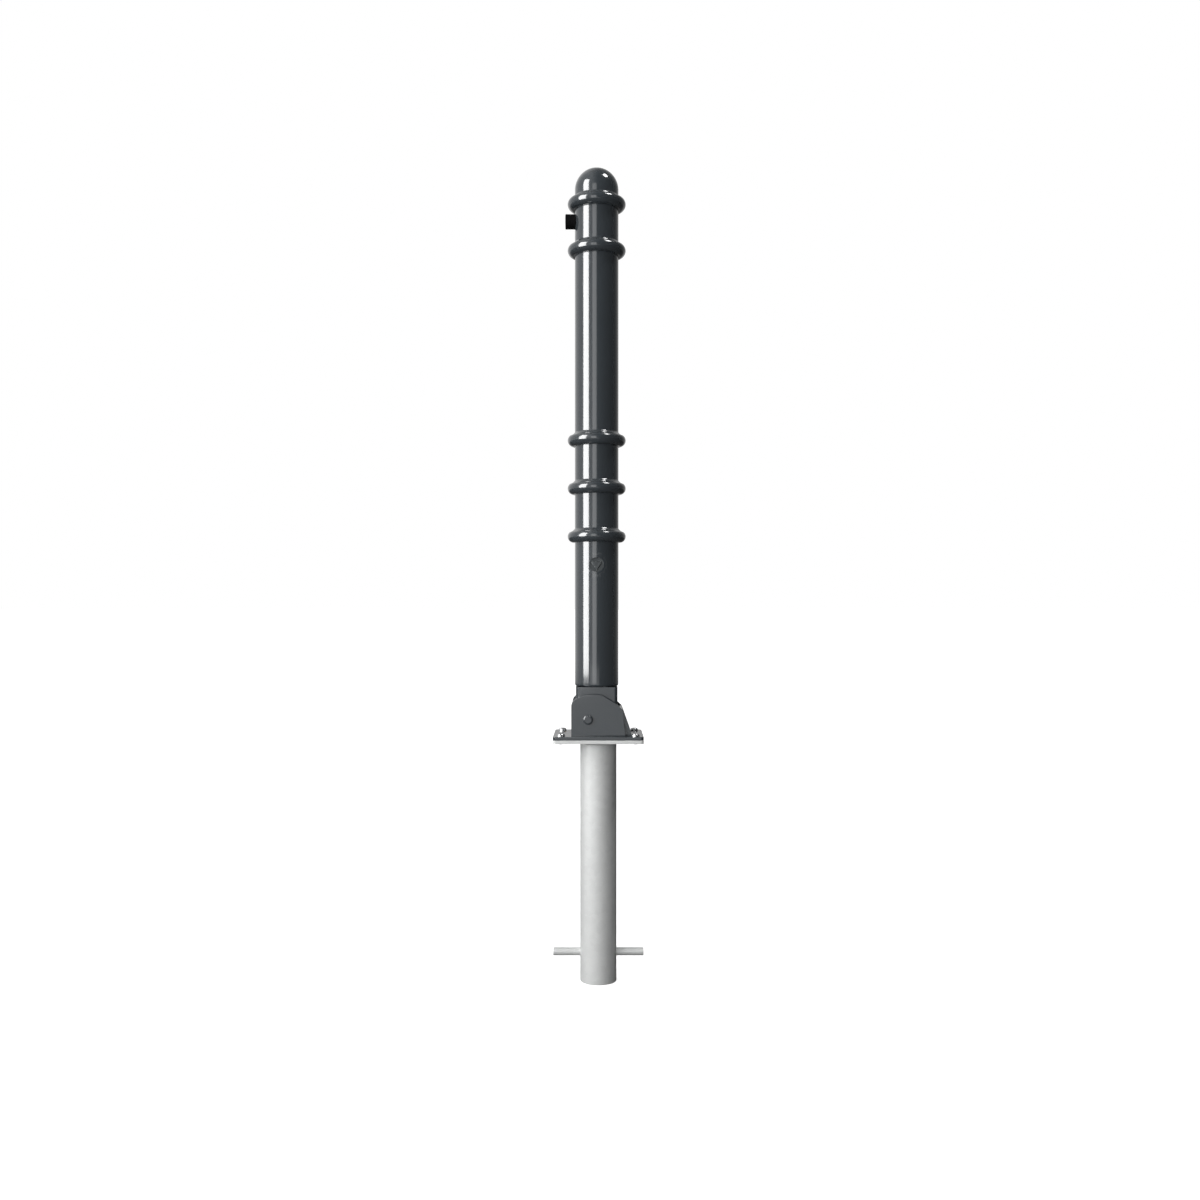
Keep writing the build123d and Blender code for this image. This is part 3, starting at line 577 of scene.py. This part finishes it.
def build_bead_ring(number):
    """A half-round ring with a hand-ground weld shoulder on top and a crisp lower edge."""
    section = 10.3 * MM
    shoulder_angle = math.radians(48)
    shoulder_dip, dip_way = 1.1 * MM, Vector((-0.7, -0.7))
    ground_depth, ground_width = 0.25 * MM, 3 * MM
    waves_around, waves_apart = 2.2, 3.7
    bead_steps, shoulder_steps = 26, 8
    node = f"bead_ring_{number}"
    low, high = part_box(node)
    outer = high.x - POST_X
    bore = POST_RADIUS + FINE_GAP
    middle = outer - section
    drop = math.sqrt(section ** 2 - (bore - middle) ** 2)
    centre_z = low.z + drop
    begin = -math.acos((bore - middle) / section)
    outline = []
    for step in range(bead_steps + 1):
        angle = begin + (shoulder_angle - begin) * step / bead_steps
        outline.append((middle + section * math.cos(angle), centre_z + section * math.sin(angle)))
    side = Vector(outline[-1])
    top = Vector((bore, high.z))
    for step in range(1, shoulder_steps + 1):
        share = step / shoulder_steps
        dip = 4 * share * (1 - share) * shoulder_dip
        spot = side.lerp(top, share) + dip_way * dip
        outline.append((max(bore, spot.x), spot.y))

    def hand_ground(angle, radius, height):
        if height < centre_z + section / 2 or radius <= bore + TINY:
            return 0.0
        spot = (math.sin(angle) * waves_around, math.cos(angle) * waves_around, number * waves_apart)
        near_tube = max(0.0, 1 - (radius - bore) / ground_width)
        return ground_depth * noise.noise(Vector(spot)) * near_tube

    mesh = turned(outline, POST_CENTRE, hand_ground)
    piece(f"ring_skin_{number}", mesh, "post", "anthracite_coat", COAT, node)


def build_tube_end():
    """The end plate with its rolled lower edge, which shows as the tube's rounded foot."""
    roll_radius = 4 * MM
    rod_gap = 0.3 * MM
    low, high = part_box("tube_end_plate")
    rod_low, rod_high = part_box("latch_rod")
    corners = [
        (0, low.z, 0),
        (POST_RADIUS, low.z, roll_radius),
        (POST_RADIUS, high.z, 0),
        (0, high.z, 0),
    ]
    hole_centre = ((rod_low.x + rod_high.x) / 2, 0, low.z)
    hole_radius = (rod_high.x - rod_low.x) / 2 + rod_gap
    disc = turned(rounded(corners, 10), POST_CENTRE)
    mesh = bored(disc, hole_centre, hole_radius, 3 * (high.z - low.z), "Z")
    piece("tube_end_skin", mesh, "post", "anthracite_coat", COAT, "tube_end_plate")


def build_buffer():
    """The rubber buffer: a moulded plug with a saddle that hugs the tube and a screw pocket.

    The plug is turned about its own axis, with out as the distance from the post's axis.
    """
    screw_hole, insert_hole, pocket = 3.3 * MM, 6.8 * MM, 7.5 * MM
    insert_gap, edge_width = 0.3 * MM, 0.1 * MM
    saddle_from, saddle_to = 30 * MM, 38.5 * MM
    rows, plain_end = 16, 2 * MM
    waist_from, waist_depth = 38 * MM, 0.3 * MM
    seam_height, seam_width, seam_share = 0.25 * MM, 0.35 * MM, 0.55
    low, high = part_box("rubber_buffer")
    radius = (high.z - low.z) / 2
    centre = (low + high) / 2
    washer_low, washer_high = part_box("buffer_washer")
    pocket_floor = POST_X - washer_high.x - FINE_GAP
    reach = POST_X - low.x
    flange = POST_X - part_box("threaded_insert")[0].x + insert_gap
    corners = [
        (screw_hole, flange, 0.2 * MM),
        (insert_hole, flange, 0.2 * MM),
        (insert_hole, saddle_from, 0),
        (radius, saddle_from, 0),
        (radius, reach, 1.5 * MM),
        (pocket, reach, 0.5 * MM),
        (pocket, pocket_floor, 0.6 * MM),
        (screw_hole, pocket_floor, 0.2 * MM),
    ]
    outline = rounded(corners, 6)
    side_rows = [(radius, saddle_from + (reach - plain_end - saddle_from) * row / rows)
                 for row in range(1, rows)]
    side_start = outline.index((radius, saddle_from)) + 1
    outline[side_start:side_start] = side_rows
    mesh = turned(outline, MIDDLE, steps=112)
    tube_reach = POST_RADIUS + FINE_GAP
    seam_out = tube_reach + (reach - tube_reach) * seam_share
    for vert in mesh.vertices:
        across, up, out = vert.co
        around = math.hypot(across, up)
        if out < saddle_to and around > insert_hole - edge_width:
            saddle = math.sqrt(max(0.0, tube_reach ** 2 - across ** 2))
            share = max(0.0, (out - saddle_from) / (saddle_to - saddle_from))
            out = saddle + (saddle_to - saddle) * share
        if around > radius - edge_width:
            seam = math.exp(-((out - seam_out) / seam_width) ** 2) * seam_height
            along = (out - waist_from) / (reach - waist_from)
            waist = math.sin(math.pi * min(1, max(0, along)))
            shrink = 1 - (waist_depth - seam) * waist / radius
            across *= shrink
            up *= shrink
        vert.co = (POST_X - out, across, centre.z + up)
    piece("buffer_skin", mesh, "post", "black_rubber", RUBBER, "rubber_buffer")


def build_lock_barrel():
    """The lock's turning barrel: a round head with a three-sided drive, a shank and a square tail.

    It is drawn about an upright axis, with the key's side up, and then laid forward.
    """
    drive_height, drive_reach, drive_round = 6.0 * MM, 11.0 * MM, 1.2 * MM
    head_height, shank_radius = 2.5 * MM, 8.0 * MM
    tail_length, tail_half, tail_round = 5.0 * MM, 4.0 * MM, 0.4 * MM
    screw_hole, screw_depth = 2.55 * MM, 5.0 * MM
    low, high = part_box("lock_barrel")
    centre = (low + high) / 2
    head_radius = (high.x - low.x) / 2
    drive_end = -low.y
    face = drive_end - drive_height
    tail_end = -high.y
    back = tail_end + tail_length
    corners = [
        (screw_hole, back, 0),
        (shank_radius, back, 0.3 * MM),
        (shank_radius, face - head_height, 0),
        (head_radius, face - head_height, 0.3 * MM),
        (head_radius, face, 0),
        (0, face, 0),
        (0, back + screw_depth, 0),
        (screw_hole, back + screw_depth, 0),
    ]
    head = turned(rounded(corners, 4), MIDDLE, steps=96)
    angles = [math.radians(angle) for angle in (-90, 30, 150)]
    tips = [(drive_reach * math.cos(a), drive_reach * math.sin(a), drive_round) for a in angles]
    drive = cut_plate([rounded(tips, 6)], face, drive_end, 0.55 * MM, Matrix.Identity(4))
    sides = ((-1, -1), (1, -1), (1, 1), (-1, 1))
    square = rounded([(x * tail_half, y * tail_half, tail_round) for x, y in sides], 3)
    tail = cut_plate([square, ring_of(0, 0, screw_hole)], tail_end, back, 0.2 * MM, Matrix.Identity(4))
    bm = bmesh.new()
    for part in (head, drive, tail):
        bm.from_mesh(part)
    mesh = bpy.data.meshes.new("barrel")
    bm.to_mesh(mesh)
    bm.free()
    mesh.transform(Matrix.Translation((centre.x, 0, centre.z)) @ UPRIGHT)
    piece("barrel_skin", mesh, "lock", "lock_metal", BLACKENED, "lock_barrel")


# ------------------------------------------------------------------ hinge bracket and plates
def build_cheeks():
    """The two shaped side plates, laser-cut with softened edges under the coat."""
    edge = 0.5 * MM
    pin_hole = 6.05 * MM
    back_height, crown_left, crown_right = 61 * MM, -20 * MM, 5 * MM
    knee_x, knee_height = 32 * MM, 54.2 * MM
    heel_x, heel_height = 41.9 * MM, 45 * MM
    low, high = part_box("front_cheek")
    corners = [
        (low.x, low.z, 0),
        (low.x, low.z + back_height, 14 * MM),
        (crown_left, high.z, 20 * MM),
        (crown_right, high.z, 22 * MM),
        (knee_x, low.z + knee_height, 15 * MM),
        (heel_x, low.z + heel_height, 3 * MM),
        (high.x, low.z, 0),
    ]
    outline = rounded(corners[::-1], 12)
    washer_low, washer_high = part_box("pivot_washer")
    pin = (washer_low + washer_high) / 2
    hole = ring_of(pin.x, pin.z, pin_hole)
    for node in ("front_cheek", "rear_cheek"):
        near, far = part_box(node)
        mesh = cut_plate([outline, hole], -far.y, -near.y, edge, UPRIGHT)
        piece(node.replace("_cheek", "_side"), mesh, "base", "anthracite_coat", COAT, node)


def build_web():
    """The sloping plate that closes the bracket between the cheeks."""
    thickness, edge = 6 * MM, 0.4 * MM
    top_x, top_round = 41.7 * MM, 1.5 * MM
    low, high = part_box("bracket_web")
    slope = (high.x - top_x) / (high.z - low.z)
    across = thickness * math.sqrt(1 + slope ** 2)
    corners = [
        (high.x, low.z, 0),
        (top_x, high.z, top_round),
        (top_x - across, high.z, top_round),
        (high.x - across, low.z, 0),
    ]
    mesh = cut_plate([rounded(corners, 6)[::-1]], low.y, high.y, edge, UPRIGHT)
    piece("web_skin", mesh, "base", "anthracite_coat", COAT, "bracket_web")


def build_plates():
    """The coated base plate on the galvanised anchor plate, both drilled alike."""
    corner = 5 * MM
    screw_head = 7 * MM
    drain_radius, drain_y = 5 * MM, 18 * MM
    screws_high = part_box("fixing_screws")[1]
    holes_x = screws_high.x - screw_head
    holes_y = screws_high.y - screw_head
    for node, name, edge, hole, slot, finish in (
        ("base_plate", "base_skin", 0.8 * MM, 4.5 * MM, "anthracite_coat", COAT),
        ("anchor_plate", "anchor_skin", 0.5 * MM, 4.05 * MM, "galvanised_steel", ZINC),
    ):
        low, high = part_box(node)
        corners = [
            (low.x, low.y, corner),
            (high.x, low.y, corner),
            (high.x, high.y, corner),
            (low.x, high.y, corner),
        ]
        outlines = [rounded(corners, 10)]
        for side_x in (-1, 1):
            for side_y in (-1, 1):
                outlines.append(ring_of(side_x * holes_x, side_y * holes_y, hole))
        for side_y in (-1, 1):
            outlines.append(ring_of(0, side_y * drain_y, drain_radius))
        mesh = cut_plate(outlines, low.z, high.z, edge, Matrix.Identity(4))
        piece(name, mesh, "base", slot, finish, node)


# ------------------------------------------------------------------ ground anchor
def build_anchor_tube():
    """The buried tube: thick zinc skin with faint runs, a softened lower end and a bar hole."""
    rows = 90
    edge = 0.5 * MM
    run_depth, runs_end = 0.08 * MM, -1 * MM
    runs_around, runs_a_metre = 9, 14
    bar_gap = 0.1 * MM
    low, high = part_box("anchor_tube")
    inner = ANCHOR_RADIUS - TUBE_WALL
    outline = [(inner + edge, low.z), (ANCHOR_RADIUS - edge, low.z), (ANCHOR_RADIUS, low.z + edge)]
    outline += [(ANCHOR_RADIUS, low.z + (high.z - low.z) * row / rows) for row in range(1, rows + 1)]
    outline += [(inner, high.z), (inner, low.z + edge)]

    def runs(angle, radius, height):
        if radius < ANCHOR_RADIUS - TUBE_WALL / 2 or height > runs_end:
            return 0.0
        spot = (math.sin(angle) * runs_around, math.cos(angle) * runs_around, height * runs_a_metre)
        return -run_depth * (0.5 + 0.5 * noise.noise(Vector(spot)))

    bar_low, bar_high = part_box("anchor_cross_bar")
    bar_level = (bar_low.z + bar_high.z) / 2
    bar_hole = (bar_high.z - bar_low.z) / 2 + bar_gap
    mesh = bored(turned(outline, MIDDLE, runs), (0, 0, bar_level), bar_hole, 3 * ANCHOR_RADIUS, "X")
    piece("anchor_tube_skin", mesh, "base", "galvanised_steel", ZINC, "anchor_tube")


def build_anchor_weld():
    """The fillet weld under the anchor plate, laid in small overlapping ripples."""
    bead_steps, turn_steps = 8, 640
    swell_share = 0.032
    plate_gap = 0.01 * MM
    ripple_depth, root_width = 0.45 * MM, 0.3 * MM
    ripples_in_half, drift, drift_turns = 32, 0.5, 5
    low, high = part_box("anchor_weld")
    leg = high.z - low.z
    root = ANCHOR_RADIUS + FINE_GAP
    outline = [(root, high.z - plate_gap)]
    for step in range(bead_steps + 1):
        share = step / bead_steps
        swell = leg * swell_share * math.sin(math.pi * share)
        outline.append((root + leg * (1 - share) + swell, high.z - leg * share - swell))

    def ripples(angle, radius, height):
        if radius < root + root_width:
            return 0.0
        beat = abs(math.sin(angle * ripples_in_half + drift * math.sin(angle * drift_turns)))
        return -ripple_depth * (1 - beat)

    mesh = turned(outline, MIDDLE, ripples, turn_steps)
    piece("weld_skin", mesh, "base", "weld_metal", WELD_ZINC, "anchor_weld")


def build_cross_bar():
    """The round bar through the anchor tube, with its ends rounded off."""
    end_round = 1.2 * MM
    low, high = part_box("anchor_cross_bar")
    radius = (high.z - low.z) / 2
    level = (low.z + high.z) / 2
    corners = [(0, low.x, 0), (radius, low.x, end_round), (radius, high.x, end_round), (0, high.x, 0)]
    mesh = turned(rounded(corners, 5), MIDDLE, steps=64)
    mesh.transform(Matrix.Translation((0, 0, level)) @ Matrix.Rotation(QUARTER, 4, "Y"))
    piece("cross_bar_skin", mesh, "base", "galvanised_steel", ZINC, "anchor_cross_bar")


# ------------------------------------------------------------------ studio
def soft_box(name, place, aim, width, height, brightness, on_diffuse=True, on_gloss=True):
    """A rectangular soft light of an even brightness, which the camera doesn't see."""
    light = bpy.data.lights.new(name, "AREA")
    light.shape = "RECTANGLE"
    light.size = width
    light.size_y = height
    light.energy = 4 * width * height * brightness
    obj = loose_object(name, light)
    obj.location = place
    obj.rotation_mode = "QUATERNION"
    obj.rotation_quaternion = (Vector(aim) - Vector(place)).to_track_quat("-Z", "Y")
    obj.visible_camera = False
    obj.visible_diffuse = on_diffuse
    obj.visible_glossy = on_gloss


def build_room_tone():
    """The room that the steel's gloss sees: grey on the left, dark on the right, pale and fading behind.

    Across and Depth are the x and y of a unit direction.
    """
    tree, given, out = start_group("room_tone", [("Across", 0.0), ("Depth", 0.0)],
                                   [("Tone", "NodeSocketFloat")])
    left_side = ramp(tree, given["Across"], -0.35, 0.05, 0.48, 0.05)
    wall_left = ramp(tree, given["Across"], -0.6, 0.0, 0.15, 0.30)
    wall_right = ramp(tree, given["Across"], 0.45, 0.9, 0.0, -0.20)
    behind = ramp(tree, given["Depth"], 0.1, 0.8)
    wall = multiply(tree, maths(tree, "ADD", wall_left, wall_right), behind)
    tree.links.new(maths(tree, "ADD", left_side, wall), out["Tone"])
    return tree


def room_seen(tree, direction, tone_group):
    """The room's tone in a direction."""
    split = tree.nodes.new("ShaderNodeSeparateXYZ")
    tree.links.new(direction, split.inputs[0])
    tone = tree.nodes.new("ShaderNodeGroup")
    tone.node_tree = tone_group
    tree.links.new(split.outputs["X"], tone.inputs["Across"])
    tree.links.new(split.outputs["Y"], tone.inputs["Depth"])
    return tone.outputs["Tone"]


def build_floor(tone_group):
    """A pale floor at the anchor's lower end, white to the camera far off, with a painted soft shade round
    the post where its glow is dimmed.

    To the steel it is dark close by, and takes the room's tone far off.
    """
    reach = 80.0
    far_from, far_to = 3.0, 10.0
    painted_shade_from, painted_shade_to, near_glow_painted_shade = 0.6, 3.0, 0.78
    low_corner = Vector((-reach, -reach, ANCHOR_END))
    high_corner = Vector((reach, reach, ANCHOR_END))
    corners = [
        low_corner,
        (high_corner.x, low_corner.y, ANCHOR_END),
        high_corner,
        (low_corner.x, high_corner.y, ANCHOR_END),
    ]
    mesh = bpy.data.meshes.new("floor")
    mesh.from_pydata(corners, [], [(0, 1, 2, 3)])
    floor = loose_object("floor", mesh)
    material, tree, shader = new_material("pale_floor", Roughness=0.9, Specular_IOR_Level=0.0)
    seen = tree.nodes.new("ShaderNodeLightPath").outputs["Is Camera Ray"]
    point = object_point(tree)
    clouds = noise_at(tree, point, 1.5, 3.0)
    paint = mix_colours(tree, clouds, FLOOR_DEEP, FLOOR_PALE)
    tree.links.new(mix_colours(tree, seen, FLOOR_NEAR_STEEL, paint), shader["Base Color"])
    away = tree.nodes.new("ShaderNodeVectorMath")
    away.operation = "LENGTH"
    tree.links.new(point, away.inputs[0])
    outward = tree.nodes.new("ShaderNodeVectorMath")
    outward.operation = "NORMALIZE"
    tree.links.new(point, outward.inputs[0])
    far = ramp(tree, away.outputs["Value"], far_from, far_to)
    room = multiply(tree, room_seen(tree, outward.outputs[0], tone_group), far)
    # The floor's glow is dimmed close to the post: a painted shade on the floor round it.
    glow_with_painted_shade = ramp(tree, away.outputs["Value"], painted_shade_from, painted_shade_to, near_glow_painted_shade, 1.0)
    strength = maths(tree, "MAXIMUM", multiply(tree, glow_with_painted_shade, seen), room)
    shader["Emission Color"].default_value = (1, 1, 1, 1)
    tree.links.new(strength, shader["Emission Strength"])
    mesh.materials.append(material)


def build_surround(tone_group):
    """White to the camera, and the room's tone to the steel."""
    world = bpy.data.worlds.new("studio")
    bpy.context.scene.world = world
    world.use_nodes = True
    tree = world.node_tree
    tree.nodes.clear()
    direction = tree.nodes.new("ShaderNodeTexCoord").outputs["Generated"]
    seen = tree.nodes.new("ShaderNodeLightPath").outputs["Is Camera Ray"]
    background = tree.nodes.new("ShaderNodeBackground")
    background.inputs["Color"].default_value = (1, 1, 1, 1)
    strength = maths(tree, "MAXIMUM", seen, room_seen(tree, direction, tone_group))
    tree.links.new(strength, background.inputs["Strength"])
    output = tree.nodes.new("ShaderNodeOutputWorld")
    tree.links.new(background.outputs[0], output.inputs[0])


def build_lights():
    """Soft lights to the left of the post and before it, and a small one up on its right."""
    soft_box("key", (-1.91, -1.19, 1.4), (0, 0, 1.2), width=1.25, height=3.9, brightness=3.0,
             on_gloss=False)
    soft_box("strip", (-1.83, -1.14, 1.365), (0, 0, 1.365), width=1.22, height=2.77, brightness=8.5,
             on_diffuse=False)
    soft_box("near_panel", (-0.53, -2.6, 0.9), (-0.1, 0, 0.9), width=1.0, height=2.0, brightness=1.12,
             on_diffuse=False)
    soft_box("low_panel", (-0.6, -2.6, -0.22), (-0.6, 0, -0.22), width=2.4, height=0.4, brightness=0.52,
             on_diffuse=False)
    soft_box("fill", (-0.78, -2.9, 0.2), (0, 0, -0.1), width=2.0, height=2.0, brightness=3.0,
             on_gloss=False)
    soft_box("top_panel", (1.05, -0.27, 2.75), (0, 0, 0.96), width=0.6, height=0.5, brightness=14.0)


def build_camera():
    """A level camera in front of the post, a little to its right."""
    camera_data = bpy.data.cameras.new("camera")
    camera_data.sensor_width = 36
    camera_data.lens = 36
    camera = loose_object("camera", camera_data)
    camera.location = (2.9 * MM, -2.101, 0.245)
    camera.rotation_euler = (QUARTER, 0, 0)
    bpy.context.scene.camera = camera
    bpy.context.scene.view_settings.view_transform = "Standard"


finish_cad_nodes()
build_post_tube()
build_dome()
for ring_number in range(1, 6):
    build_bead_ring(ring_number)
build_tube_end()
build_buffer()
build_lock_barrel()
build_cheeks()
build_web()
build_plates()
build_anchor_tube()
build_anchor_weld()
build_cross_bar()
room_tone = build_room_tone()
build_floor(room_tone)
build_surround(room_tone)
build_lights()
build_camera()
